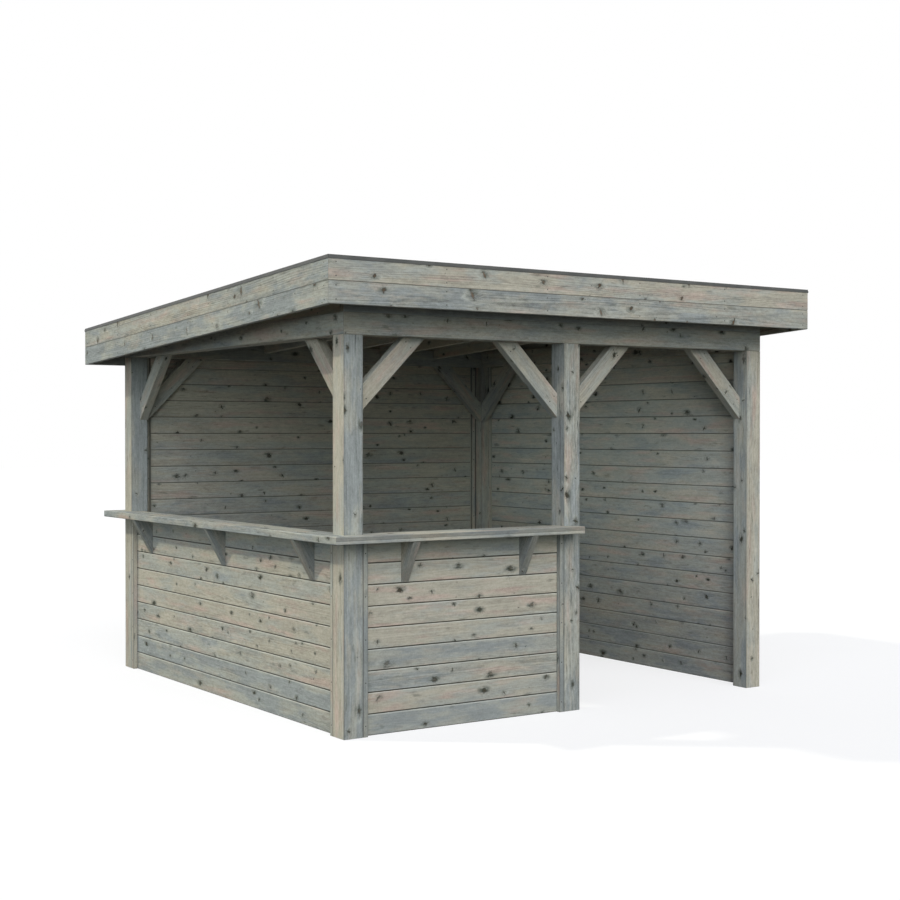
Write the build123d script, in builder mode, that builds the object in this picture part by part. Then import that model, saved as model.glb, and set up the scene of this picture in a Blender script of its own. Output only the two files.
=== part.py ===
from build123d import *
import os
from math import radians, sqrt, tan

# Garden pavilion with a bar: square timber posts and a mitred ring of beams carry a
# lean-to roof. Two sides are boarded to full height, two have a low boarded bar front
# under an L-shaped counter, and one front bay is an open doorway.
# X runs along the front from left to right, Y from front to rear, Z up, in millimetres.
# The origin is on the ground in the middle of the frame.

# Frame
frame_width = 3080
frame_depth = 3080
post_size = 120
post_round = 4
beam_underside = 2160
beam_height = 120

# Knee braces, mitred between a post and a beam, flush with their inner faces
brace_leg = 435
brace_face = 100
brace_thickness = 58

# Boarding
board_pitch = 116.5
board_thickness = 18
groove_side = 6
bar_board_count = 9
bar_wall_setback = 30
tall_wall_setback = 20

# Battens that hold the board ends against the posts
batten_width = 30
bar_inner_batten = 30
tall_inner_batten = 10
rear_inner_batten_width = 54

# Counter planks
counter_thickness = 42
counter_width = 190
counter_overhang = 108
counter_front_run_past = 73
counter_left_run_past = 120
counter_round = 5
notch_clearance = 2

# Counter brackets
bracket_thickness = 45
bracket_reach = 133
bracket_drop = 231
bracket_tip = 4
bracket_inset = 280
left_bracket_count = 3
front_bracket_count = 2

# Roof
roof_overhang = 210
roof_angle = 3
rafter_width = 45
rafter_depth = 120
rafter_housing = 64
rafter_bay_count = 6
plate_thickness = 45
deck_thickness = 18
deck_upstand = 18
covering_thickness = 3
covering_upstand = 14
fascia_thickness = 28
fascia_board_height = 120
trim_rise = 12
trim_drop = 8
trim_cover = 3
trim_ledge = 2
trim_ledge_rise = 3
trim_bead = 12
trim_flange = 55

# Worked out from the sizes above
half_width = frame_width / 2
half_depth = frame_depth / 2
inner_x = half_width - post_size
inner_y = half_depth - post_size
half_post = post_size / 2
beam_top = beam_underside + beam_height
bar_height = bar_board_count * board_pitch
roof_half_width = half_width + roof_overhang
roof_half_depth = half_depth + roof_overhang
fall = tan(radians(roof_angle))
rafter_seat = beam_top - rafter_housing
fascia_rise = rafter_depth + deck_thickness + deck_upstand
fascia_top_front = rafter_seat + fascia_rise + fall * (inner_y + roof_half_depth)

os.makedirs("parts", exist_ok=True)


def finish(builder, name):
    """Label a finished piece and write it to its own file."""
    builder.part.label = name
    export_step(builder.part, f"parts/{name}.step")


def fascia_top(y):
    """Height of the fascia's top edge at a depth y."""
    return fascia_top_front - fall * (y + roof_half_depth)


def deck_top(y):
    return fascia_top(y) - deck_upstand


def rafter_top(y):
    return deck_top(y) - deck_thickness


def rafter_bottom(y):
    return rafter_top(y) - rafter_depth


# Posts
post_places = {
    "post_front_left": (-half_width + half_post, -half_depth + half_post),
    "post_front_middle": (0, -half_depth + half_post),
    "post_front_right": (half_width - half_post, -half_depth + half_post),
    "post_rear_left": (-half_width + half_post, half_depth - half_post),
    "post_rear_right": (half_width - half_post, half_depth - half_post),
}

for name, place in post_places.items():
    with BuildPart() as post:
        with BuildSketch():
            with Locations(place):
                RectangleRounded(post_size, post_size, post_round)
        extrude(amount=beam_underside)
    finish(post, name)


# Ring of beams, mitred at the four corners
def ring_beam(name, outer_start, outer_end, inner_end, inner_start):
    with BuildPart() as beam:
        with BuildSketch(Plane.XY.offset(beam_underside)):
            with BuildLine():
                Polyline(outer_start, outer_end, inner_end, inner_start, close=True)
            make_face()
        extrude(amount=beam_height)
    finish(beam, name)


outer_corners = [
    (-half_width, -half_depth),
    (half_width, -half_depth),
    (half_width, half_depth),
    (-half_width, half_depth),
]
inner_corners = [(-inner_x, -inner_y), (inner_x, -inner_y), (inner_x, inner_y), (-inner_x, inner_y)]

for side, name in enumerate(["beam_front", "beam_right", "beam_rear", "beam_left"]):
    after = (side + 1) % 4
    ring_beam(name, outer_corners[side], outer_corners[after], inner_corners[after], inner_corners[side])


# Knee braces
def brace_outline(corner, direction):
    """Mitred brace below a beam; the post face is at corner and the beam runs in direction."""
    mitre = brace_face * sqrt(2)
    Polygon(
        (corner, beam_underside - brace_leg),
        (corner, beam_underside - brace_leg + mitre),
        (corner + direction * (brace_leg - mitre), beam_underside),
        (corner + direction * brace_leg, beam_underside),
        align=None,
    )


brace_middle_y = inner_y + brace_thickness / 2
brace_middle_x = inner_x + brace_thickness / 2

with BuildPart() as braces_front:
    with BuildSketch(Plane.XZ.offset(brace_middle_y)):
        brace_outline(-inner_x, 1)
        brace_outline(-half_post, -1)
        brace_outline(half_post, 1)
        brace_outline(inner_x, -1)
    extrude(amount=brace_thickness / 2, both=True)
finish(braces_front, "knee_braces_front")

with BuildPart() as braces_rear:
    with BuildSketch(Plane.XZ.offset(-brace_middle_y)):
        brace_outline(-inner_x, 1)
        brace_outline(inner_x, -1)
    extrude(amount=brace_thickness / 2, both=True)
finish(braces_rear, "knee_braces_rear")

for name, place_x in (("knee_braces_left", -brace_middle_x), ("knee_braces_right", brace_middle_x)):
    with BuildPart() as braces_side:
        with BuildSketch(Plane.YZ.offset(place_x)):
            brace_outline(-inner_y, 1)
            brace_outline(inner_y, -1)
        extrude(amount=brace_thickness / 2, both=True)
    finish(braces_side, name)


# Boarded walls: one section with a V joint on both faces at every board
def boarded_section(middle, height):
    with Locations((middle, height / 2)):
        Rectangle(board_thickness, height)
    joint_count = int(height / board_pitch - 0.01)
    joints = [
        (middle + face * board_thickness / 2, board_pitch * (joint + 1))
        for joint in range(joint_count)
        for face in (-1, 1)
    ]
    with Locations(*joints):
        Rectangle(groove_side, groove_side, rotation=45, mode=Mode.SUBTRACT)


bar_middle = bar_wall_setback + board_thickness / 2
tall_middle = tall_wall_setback + board_thickness / 2

with BuildPart() as rear_wall:
    with BuildSketch(Plane.YZ.offset(-inner_x)):
        boarded_section(half_depth - tall_middle, beam_underside)
    extrude(amount=2 * inner_x)
finish(rear_wall, "rear_wall")

with BuildPart() as right_wall:
    with BuildSketch(Plane.XZ.offset(-inner_y)):
        boarded_section(half_width - tall_middle, beam_underside)
    extrude(amount=2 * inner_y)
finish(right_wall, "right_wall")

with BuildPart() as left_bar_wall:
    with BuildSketch(Plane.XZ.offset(-inner_y)):
        boarded_section(-half_width + bar_middle, bar_height)
    extrude(amount=2 * inner_y)
finish(left_bar_wall, "left_bar_wall")

with BuildPart() as front_bar_wall:
    with BuildSketch(Plane.YZ.offset(-inner_x)):
        boarded_section(-half_depth + bar_middle, bar_height)
    extrude(amount=inner_x - half_post)
finish(front_bar_wall, "front_bar_wall")


# Battens: an outer and an inner one at each end of a wall
def batten_places(start, end, face, outward, setback, inner_width, inner_depth):
    """Centre and size of the four battens, along the wall and across it."""
    inner_face = face - outward * (setback + board_thickness)
    outer_across = face - outward * setback / 2
    inner_across = inner_face - outward * inner_depth / 2
    return [
        (start + batten_width / 2, outer_across, batten_width, setback),
        (end - batten_width / 2, outer_across, batten_width, setback),
        (start + inner_width / 2, inner_across, inner_width, inner_depth),
        (end - inner_width / 2, inner_across, inner_width, inner_depth),
    ]


with BuildPart() as rear_battens:
    with BuildSketch():
        for along, across, width, depth in batten_places(
            -inner_x, inner_x, half_depth, 1, tall_wall_setback, rear_inner_batten_width, tall_inner_batten
        ):
            with Locations((along, across)):
                Rectangle(width, depth)
    extrude(amount=beam_underside)
finish(rear_battens, "rear_wall_battens")

with BuildPart() as right_battens:
    with BuildSketch():
        for along, across, width, depth in batten_places(
            -inner_y, inner_y, half_width, 1, tall_wall_setback, batten_width, tall_inner_batten
        ):
            with Locations((across, along)):
                Rectangle(depth, width)
    extrude(amount=beam_underside)
finish(right_battens, "right_wall_battens")

with BuildPart() as left_battens:
    with BuildSketch():
        for along, across, width, depth in batten_places(
            -inner_y, inner_y, -half_width, -1, bar_wall_setback, batten_width, bar_inner_batten
        ):
            with Locations((across, along)):
                Rectangle(depth, width)
    extrude(amount=bar_height)
finish(left_battens, "left_bar_battens")

with BuildPart() as front_battens:
    with BuildSketch():
        for along, across, width, depth in batten_places(
            -inner_x, -half_post, -half_depth, -1, bar_wall_setback, batten_width, bar_inner_batten
        ):
            with Locations((along, across)):
                Rectangle(width, depth)
    extrude(amount=bar_height)
finish(front_battens, "front_bar_battens")


# Counter planks, mitred at the corner post and notched round the posts
counter_outer_x = -half_width - counter_overhang
counter_outer_y = -half_depth - counter_overhang
counter_inner_x = counter_outer_x + counter_width
counter_inner_y = counter_outer_y + counter_width
counter_front_end = -half_post + counter_front_run_past
counter_left_end = half_depth + counter_left_run_past
notch_size = post_size + 2 * notch_clearance

with BuildPart() as counter_front:
    with BuildSketch(Plane.XY.offset(bar_height)):
        with BuildLine():
            Polyline(
                (counter_outer_x, counter_outer_y),
                (counter_front_end, counter_outer_y),
                (counter_front_end, counter_inner_y),
                (counter_inner_x, counter_inner_y),
                close=True,
            )
        make_face()
    extrude(amount=counter_thickness)
    long_edges = counter_front.edges().filter_by(Axis.X).group_by(Axis.Y)[0]
    fillet(long_edges, radius=counter_round)
    with BuildSketch(Plane.XY.offset(bar_height)):
        with Locations(post_places["post_front_left"], post_places["post_front_middle"]):
            Rectangle(notch_size, notch_size)
    extrude(amount=counter_thickness, mode=Mode.SUBTRACT)
finish(counter_front, "counter_front")

with BuildPart() as counter_left:
    with BuildSketch(Plane.XY.offset(bar_height)):
        with BuildLine():
            Polyline(
                (counter_outer_x, counter_outer_y),
                (counter_inner_x, counter_inner_y),
                (counter_inner_x, counter_left_end),
                (counter_outer_x, counter_left_end),
                close=True,
            )
        make_face()
    extrude(amount=counter_thickness)
    long_edges = counter_left.edges().filter_by(Axis.Y).group_by(Axis.X)[0]
    fillet(long_edges, radius=counter_round)
    with BuildSketch(Plane.XY.offset(bar_height)):
        with Locations(post_places["post_front_left"], post_places["post_rear_left"]):
            Rectangle(notch_size, notch_size)
    extrude(amount=counter_thickness, mode=Mode.SUBTRACT)
finish(counter_left, "counter_left")


# Counter brackets: cut to a near point below, seated on the boards and under the counter
def bracket_outline(wall_face):
    """Bracket seen along the wall; it reaches out from wall_face towards minus."""
    Polygon(
        (wall_face, bar_height),
        (wall_face - bracket_reach, bar_height),
        (wall_face - bracket_tip, bar_height - bracket_drop),
        (wall_face, bar_height - bracket_drop),
        align=None,
    )


def spread(start, end, count):
    """Evenly spaced bracket middles between two posts."""
    first = start + bracket_inset
    last = end - bracket_inset
    return [first + (last - first) * step / (count - 1) for step in range(count)]


with BuildPart() as front_brackets:
    for middle in spread(-inner_x, -half_post, front_bracket_count):
        with BuildSketch(Plane.YZ.offset(middle)):
            bracket_outline(-half_depth + bar_wall_setback)
        extrude(amount=bracket_thickness / 2, both=True)
finish(front_brackets, "front_brackets")

with BuildPart() as left_brackets:
    for middle in spread(-inner_y, inner_y, left_bracket_count):
        with BuildSketch(Plane.XZ.offset(-middle)):
            bracket_outline(-half_width + bar_wall_setback)
        extrude(amount=bracket_thickness / 2, both=True)
finish(left_brackets, "left_brackets")


# Bevelled plate on the front beam, which lifts the rafters at the front
with BuildPart() as front_plate:
    with BuildSketch(Plane.YZ):
        with BuildLine():
            Polyline(
                (-half_depth, beam_top),
                (-half_depth + plate_thickness, beam_top),
                (-half_depth + plate_thickness, rafter_bottom(-half_depth + plate_thickness)),
                (-half_depth, rafter_bottom(-half_depth)),
                close=True,
            )
        make_face()
    extrude(amount=half_width, both=True)
finish(front_plate, "front_plate")

# Rafters, plumb cut behind the fascias and housed over the rear beam, whose inner face
# is where the housing depth is measured
rafter_end = roof_half_depth - fascia_thickness
rafter_spacing = 2 * (half_width - half_post) / rafter_bay_count


def rafter_outline():
    Polygon(
        (-rafter_end, rafter_bottom(-rafter_end)),
        (rafter_end, rafter_bottom(rafter_end)),
        (rafter_end, rafter_top(rafter_end)),
        (-rafter_end, rafter_top(-rafter_end)),
        align=None,
    )


with BuildPart() as rafters:
    for step in range(1, rafter_bay_count):
        with BuildSketch(Plane.YZ.offset(-half_width + half_post + step * rafter_spacing)):
            rafter_outline()
            with Locations((half_depth - half_post, beam_top)):
                Rectangle(post_size, 2 * beam_height, align=(Align.CENTER, Align.MAX), mode=Mode.SUBTRACT)
        extrude(amount=rafter_width / 2, both=True)
finish(rafters, "rafters")

# The two rafters over the side beams are cut away where they meet the beam
with BuildPart() as side_rafters:
    for side in (-1, 1):
        with BuildSketch(Plane.YZ.offset(side * (half_width - half_post))):
            rafter_outline()
            with Locations((0, beam_top)):
                Rectangle(frame_depth, 2 * beam_height, align=(Align.CENTER, Align.MAX), mode=Mode.SUBTRACT)
        extrude(amount=rafter_width / 2, both=True)
finish(side_rafters, "side_rafters")

with BuildPart() as edge_rafters:
    for side in (-1, 1):
        edge_middle = side * (roof_half_width - fascia_thickness - rafter_width / 2)
        with BuildSketch(Plane.YZ.offset(edge_middle)):
            rafter_outline()
        extrude(amount=rafter_width / 2, both=True)
finish(edge_rafters, "edge_rafters")

# Roof boards laid across the rafters, with a V joint below at every board
deck_half_width = roof_half_width - fascia_thickness
deck_board_count = int(2 * rafter_end / board_pitch)

with BuildPart() as roof_deck:
    with BuildSketch(Plane.YZ):
        with BuildLine():
            Polyline(
                (-rafter_end, rafter_top(-rafter_end)),
                (rafter_end, rafter_top(rafter_end)),
                (rafter_end, deck_top(rafter_end)),
                (-rafter_end, deck_top(-rafter_end)),
                close=True,
            )
        make_face()
        for joint in range(1, deck_board_count + 1):
            joint_y = -rafter_end + joint * board_pitch
            with Locations((joint_y, rafter_top(joint_y))):
                Rectangle(groove_side, groove_side, rotation=45, mode=Mode.SUBTRACT)
    extrude(amount=deck_half_width, both=True)
finish(roof_deck, "roof_deck")


# Roof covering, a shallow tray turned up against the fascias
def sloping_layer(end, bottom, top):
    """Layer that follows the roof slope, given by its heights above the roof boards."""
    Polygon(
        (-end, deck_top(-end) + bottom),
        (end, deck_top(end) + bottom),
        (end, deck_top(end) + top),
        (-end, deck_top(-end) + top),
        align=None,
    )


with BuildPart() as roof_covering:
    with BuildSketch(Plane.YZ):
        sloping_layer(rafter_end, 0, covering_upstand)
    extrude(amount=deck_half_width, both=True)
    with BuildSketch(Plane.YZ):
        sloping_layer(rafter_end - covering_thickness, covering_thickness, 2 * deck_upstand)
    extrude(amount=deck_half_width - covering_thickness, both=True, mode=Mode.SUBTRACT)
finish(roof_covering, "roof_covering")


# Fascia boards and roof trim, mitred in plan at the roof corners
def side_of_plan(side):
    """The strip of the roof plan that belongs to one side, cut at 45 degrees at its ends."""
    reach_x = roof_half_width + trim_cover
    reach_y = roof_half_depth + trim_cover
    strip = min(reach_x, reach_y) / 2
    corners = {
        "front": [(-reach_x, -reach_y), (reach_x, -reach_y), (reach_x - strip, strip - reach_y),
                  (strip - reach_x, strip - reach_y)],
        "rear": [(-reach_x, reach_y), (reach_x, reach_y), (reach_x - strip, reach_y - strip),
                 (strip - reach_x, reach_y - strip)],
        "left": [(-reach_x, -reach_y), (-reach_x, reach_y), (strip - reach_x, reach_y - strip),
                 (strip - reach_x, strip - reach_y)],
        "right": [(reach_x, -reach_y), (reach_x, reach_y), (reach_x - strip, reach_y - strip),
                  (reach_x - strip, strip - reach_y)],
    }
    return corners[side]


def board_section(top):
    """Fascia board from its outer top corner; inwards is plus."""
    with Locations((fascia_thickness / 2, top - fascia_board_height / 2)):
        Rectangle(fascia_thickness, fascia_board_height)


def trim_section(top):
    """Edge trim from the fascia's outer top corner, with a ledge half way up; inwards is plus."""
    Polygon(
        (-trim_cover, top - trim_drop),
        (-trim_cover, top + trim_ledge_rise),
        (trim_ledge - trim_cover, top + trim_ledge_rise),
        (trim_ledge - trim_cover, top + trim_rise),
        (trim_bead - trim_cover, top + trim_rise),
        (trim_bead - trim_cover, top + trim_cover),
        (trim_flange, top + trim_cover),
        (trim_flange, top),
        (0, top),
        (0, top - trim_drop),
        align=None,
    )


def roof_edge(name, side, section, drop):
    """Run a section along one side of the roof and mitre its ends."""
    reach = roof_half_width + trim_cover
    run = 2 * (roof_half_depth + trim_cover) * sqrt(1 + fall**2)
    with BuildPart() as piece:
        if side == "front":
            plane = Plane((-reach, -roof_half_depth, 0), x_dir=(0, 1, 0), z_dir=(1, 0, 0))
            with BuildSketch(plane):
                section(fascia_top(-roof_half_depth) - drop)
            extrude(amount=2 * reach)
        elif side == "rear":
            plane = Plane((reach, roof_half_depth, 0), x_dir=(0, -1, 0), z_dir=(-1, 0, 0))
            with BuildSketch(plane):
                section(fascia_top(roof_half_depth) - drop)
            extrude(amount=2 * reach)
        else:
            inward = 1 if side == "left" else -1
            start = roof_half_depth + trim_cover
            plane_y = -start if side == "right" else start
            plane = Plane((-inward * roof_half_width, plane_y, 0), x_dir=(inward, 0, 0), z_dir=(0, -inward, 0))
            with BuildSketch(plane):
                section(fascia_top(plane_y) - drop)
            extrude(amount=run, dir=(0, -inward, inward * fall))
        with BuildSketch():
            Polygon(*side_of_plan(side), align=None)
        extrude(amount=fascia_top_front + 2 * trim_rise, mode=Mode.INTERSECT)
    finish(piece, name)


for side in ("front", "rear", "left", "right"):
    roof_edge(f"fascia_{side}_upper", side, board_section, 0)
    roof_edge(f"fascia_{side}_lower", side, board_section, fascia_board_height)
    roof_edge(f"roof_trim_{side}", side, trim_section, 0)
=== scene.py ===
import math
import random

import bmesh
import bpy
from mathutils import Matrix, Vector


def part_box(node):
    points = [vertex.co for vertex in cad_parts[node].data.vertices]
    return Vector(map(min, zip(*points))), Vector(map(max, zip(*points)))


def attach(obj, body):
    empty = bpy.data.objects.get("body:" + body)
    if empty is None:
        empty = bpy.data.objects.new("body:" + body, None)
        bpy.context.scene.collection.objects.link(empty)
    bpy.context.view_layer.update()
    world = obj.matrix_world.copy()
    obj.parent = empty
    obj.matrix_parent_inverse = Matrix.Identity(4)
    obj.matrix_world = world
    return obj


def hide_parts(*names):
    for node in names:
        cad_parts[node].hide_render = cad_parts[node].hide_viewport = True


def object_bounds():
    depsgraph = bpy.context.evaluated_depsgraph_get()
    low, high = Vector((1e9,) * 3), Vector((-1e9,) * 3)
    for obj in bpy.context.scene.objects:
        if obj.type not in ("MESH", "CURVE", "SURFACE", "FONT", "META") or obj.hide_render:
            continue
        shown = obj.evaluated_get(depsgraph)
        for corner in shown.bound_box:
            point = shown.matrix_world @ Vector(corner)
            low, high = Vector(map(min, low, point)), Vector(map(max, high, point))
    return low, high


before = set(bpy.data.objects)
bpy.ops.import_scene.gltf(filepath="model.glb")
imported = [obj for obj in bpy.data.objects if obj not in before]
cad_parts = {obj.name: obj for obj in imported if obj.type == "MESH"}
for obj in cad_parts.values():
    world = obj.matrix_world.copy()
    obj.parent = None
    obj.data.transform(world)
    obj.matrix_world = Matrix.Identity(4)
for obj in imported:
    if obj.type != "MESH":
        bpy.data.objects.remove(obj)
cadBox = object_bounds()
print("frame loaded:", len(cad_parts), "nodes")

# Garden pavilion with a bar, in metres. X runs along the front, Y to the rear, Z up.


def paint(red, green, blue):  # a colour as a screen shows it, 0 to 255, turned into light
    def light(value):
        value /= 255
        return value / 12.92 if value <= 0.04045 else ((value + 0.055) / 1.055) ** 2.4

    return light(red), light(green), light(blue), 1.0


# Shader maths: a Wire is one output socket, so sums of wires read as plain sums
class Wire:
    def __init__(self, sheet, socket):
        self.sheet = sheet
        self.socket = socket

    def maths(self, operation, first, second=0.0):
        return self.sheet.node("Math", {"operation": operation}, {0: first, 1: second})

    def __add__(self, other):
        return self.maths("ADD", self, other)

    def __radd__(self, other):
        return self.maths("ADD", other, self)

    def __sub__(self, other):
        return self.maths("SUBTRACT", self, other)

    def __rsub__(self, other):
        return self.maths("SUBTRACT", other, self)

    def __mul__(self, other):
        return self.maths("MULTIPLY", self, other)

    def __rmul__(self, other):
        return self.maths("MULTIPLY", other, self)

    def __truediv__(self, other):
        return self.maths("DIVIDE", self, other)

    def __rtruediv__(self, other):
        return self.maths("DIVIDE", other, self)

    def __pow__(self, other):
        return self.maths("POWER", self, other)

    def __abs__(self):
        return self.maths("ABSOLUTE", self)

    def atLeast(self, other):
        return self.maths("MAXIMUM", self, other)

    def atMost(self, other):
        return self.maths("MINIMUM", self, other)

    def root(self):
        return self.maths("SQRT", self)

    def fraction(self):
        return self.maths("FRACT", self)

    def over(self, other):
        return self.maths("GREATER_THAN", self, other)

    def fade(self, low, high):  # 0 below low, 1 above high, smooth between; falls if low is above high
        ends = {"Value": self, "From Min": low, "From Max": high}
        if low > high:
            ends = {"Value": self, "From Min": high, "From Max": low, "To Min": 1.0, "To Max": 0.0}
        return self.sheet.node("MapRange", {"interpolation_type": "SMOOTHSTEP"}, ends)


class Finish:
    def __init__(self, owner):  # the owner of the nodes is a material or a world
        self.owner = owner
        owner.use_nodes = True
        self.tree = owner.node_tree
        self.tree.nodes.clear()

    def node(self, kind, settings=None, inputs=None, output=0):
        made = self.tree.nodes.new("ShaderNode" + kind)
        for name, value in (settings or {}).items():
            setattr(made, name, value)
        for name, value in (inputs or {}).items():
            if isinstance(value, Wire):
                self.tree.links.new(value.socket, made.inputs[name])
            else:
                made.inputs[name].default_value = value
        return Wire(self, made.outputs[output]) if len(made.outputs) else None

    def other(self, wire, output):  # another output of the node that a wire comes from
        return Wire(self, wire.socket.node.outputs[output])

    def attribute(self, name):
        return self.node("Attribute", {"attribute_name": name}, output="Vector")

    def split(self, vector):
        first = self.node("SeparateXYZ", None, {0: vector})
        return first, self.other(first, 1), self.other(first, 2)

    def point(self, x, y, z=0.0):
        return self.node("CombineXYZ", None, {0: x, 1: y, 2: z})

    def noise(self, x, y, z=0.0, detail=2.0, roughness=0.5, output=0):
        inputs = {"Vector": self.point(x, y, z), "Scale": 1.0, "Detail": detail, "Roughness": roughness}
        return self.node("TexNoise", None, inputs, output)

    def chances(self, number):  # three chances from 0 to 1 that belong to a number
        return self.split(self.node("TexWhiteNoise", {"noise_dimensions": "1D"}, {"W": number}, "Color"))

    def mix(self, share, first, second, blend="MIX"):
        settings = {"data_type": "RGBA", "blend_type": blend}
        return self.node("Mix", settings, {0: share, 6: first, 7: second}, output=2)

    def grey(self, value):
        return self.node("CombineColor", None, {0: value, 1: value, 2: value})

    def surface(self, inputs):
        shader = self.node("BsdfPrincipled", None, inputs)
        self.node("OutputMaterial", None, {"Surface": shader})
        return self.owner


def newFinish(name):
    return Finish(bpy.data.materials.new(name))


# Weathered softwood. The grain attribute holds the place along the timber, the place across
# the face and a number of the face's own; the cast attribute holds the timber's tone,
# warmth and figure, where a low figure means a clear board and a high one a knotty board.
# Some tones also lighten or darken a timber as painted light or shade.
timberLook = {
    "warm": paint(175, 169, 151),
    "grey": paint(165, 165, 153),
    "cool": paint(149, 153, 148),
    "rose": paint(182, 162, 147),
    "pale": paint(194, 194, 181),
    "smudge": paint(82, 86, 76),
    # this darkest colour paints the shade and the dirt in the wall boards' joints
    "jointShadeAndDirtColour": paint(56, 54, 46),
    "ringGap": 0.0062,
    "ringDepth": 0.17,
    "streakDepth": 0.46,
    "fibreDepth": 0.30,
    "speckDepth": 0.38,
    "mottleDepth": 0.42,
    "blotchDepth": 0.34,
    "patches": 2.0,
    "checks": 0.0,
    # the joint strengths paint shade and dirt under each board and a highlight on its top bevel
    "jointGrime": 0.0,
    "worn": 0.66,
    "halfBoard": 0.0575,
    # darker arrises: painted shade in the seams of battens and fascia boards, and a darker edge tone on
    # posts
    "arrisGrime": 0.0,
    "arris": (0.049, 0.057),
    "edgeBand": 0.0,
    "specular": 0.12,
    "roughness": 0.78,
    "bump": 0.5,
    "relief": 0.0012,
    "tonePull": 0.26,
    "warmthPull": 0.40,
}

# Patterns in the grain: how often each changes in a metre along and across the timber, a shift
# that tells it from the others, and the detail and roughness of its noise
grainPatterns = {
    "jostle": (95, 95, 0, 3.0, 0.65),
    "wander": (0.7, 2.5, 0, 2.0, 0.5),
    "streak": (3.2, 105, 0, 4.0, 0.66),
    "fibre": (22, 620, 0, 1.0, 0.5),
    "mottle": (26, 75, 14, 3.0, 0.62),
    "blotch": (5.2, 19, 3, 4.0, 0.62),
    "rosePatch": (2.7, 19, 33, 3.0, 0.5),
    "spot": (9, 34, 60, 3.0, 0.5),
    "crack": (0.9, 42, 50, 2.0, 0.5),
    "cracked": (1.1, 7, 0, 2.0, 0.5),
}

# Year rings: how far their heart lies aside and below the face, how it dips and wanders along the
# timber, how far knots push the rings, where late wood starts and ends, and where rings are seen
ringShape = {
    "aside": 0.16,
    "below": 0.018,
    "dip": 0.16,
    "wander": 0.022,
    "push": 1.4,
    "late": (0.35, 0.92),
    "lateEnd": (1.0, 0.94),
    "seen": (0.3, 0.66),
}

# Knots, by kind: at most one to a cell, its radius between least and most, and its own shape
plainKnots = {
    "core": paint(46, 46, 38),
    "heartwood": paint(98, 82, 62),
    "layers": (
        {
            "cell": (0.40, 0.125), "share": 0.45, "least": 0.0070, "most": 0.0165, "shift": 3.1,
            "long": 1.3, "tall": 1.0, "slant": 0.8,
            "smudge": 1.0, "pale": 0.60, "heart": 0.22, "whisker": 0.12,
        },
        {
            "cell": (0.29, 0.12), "share": 0.38, "least": 0.0055, "most": 0.0110, "shift": 5.9,
            "long": 0.7, "tall": 1.7, "slant": 1.4,
            "smudge": 0.85, "pale": 0.70, "heart": 0.30, "whisker": 0.3,
        },
        {
            "cell": (0.21, 0.085), "share": 0.24, "least": 0.0018, "most": 0.0034, "shift": 8.7,
            "long": 1.1, "tall": 1.1, "slant": 0.4,
            "smudge": 0.35, "pale": 0.0, "heart": 0.0, "whisker": 0.0,
        },
    ),
}

redKnots = {
    "core": paint(55, 49, 41),
    "heartwood": paint(116, 90, 66),
    "layers": (
        {
            "cell": (0.36, 0.13), "share": 0.50, "least": 0.007, "most": 0.0145, "shift": 1.9,
            "long": 1.1, "tall": 1.1, "slant": 0.9,
            "smudge": 0.75, "pale": 0.55, "heart": 0.35, "whisker": 0.15,
        },
        {
            "cell": (0.48, 0.14), "share": 0.46, "least": 0.010, "most": 0.0185, "shift": 4.7,
            "long": 0.8, "tall": 1.9, "slant": 0.9,
            "smudge": 0.80, "pale": 0.90, "heart": 0.60, "whisker": 0.2,
        },
        {
            "cell": (0.26, 0.08), "share": 0.34, "least": 0.0020, "most": 0.0038, "shift": 6.3,
            "long": 1.0, "tall": 1.0, "slant": 0.2,
            "smudge": 0.30, "pale": 0.0, "heart": 0.0, "whisker": 0.0,
        },
    ),
}

# What all knots share: lengths are in the knot's own radius, but waver is in metres, and a pair says
# where a mark is gone and where it is full. Plenty is how a timber's figure turns into knots.
knotShape = {
    "plenty": (0.85, 0.40),
    "waver": 0.018,
    "ragged": 1.6,
    "stray": 0.9,
    "sizeBias": 1.25,
    "taper": (-1.4, 0.9),
    "core": (1.25, 0.62),
    "heart": (0.72, 0.35),
    "whiskerSlope": 0.42,
    "whiskerFoot": 0.35,
    "whiskerWidth": (0.34, 0.05),
    "whiskerStart": (-0.1, 0.3),
    "whiskerEnd": (3.4, 1.2),
    "smudgeLength": 4.3,
    "smudge": (1.0, 0.22),
    "paleLength": 3.4,
    "paleLean": 5.0,
    "pale": (1.0, 0.35),
}


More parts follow.
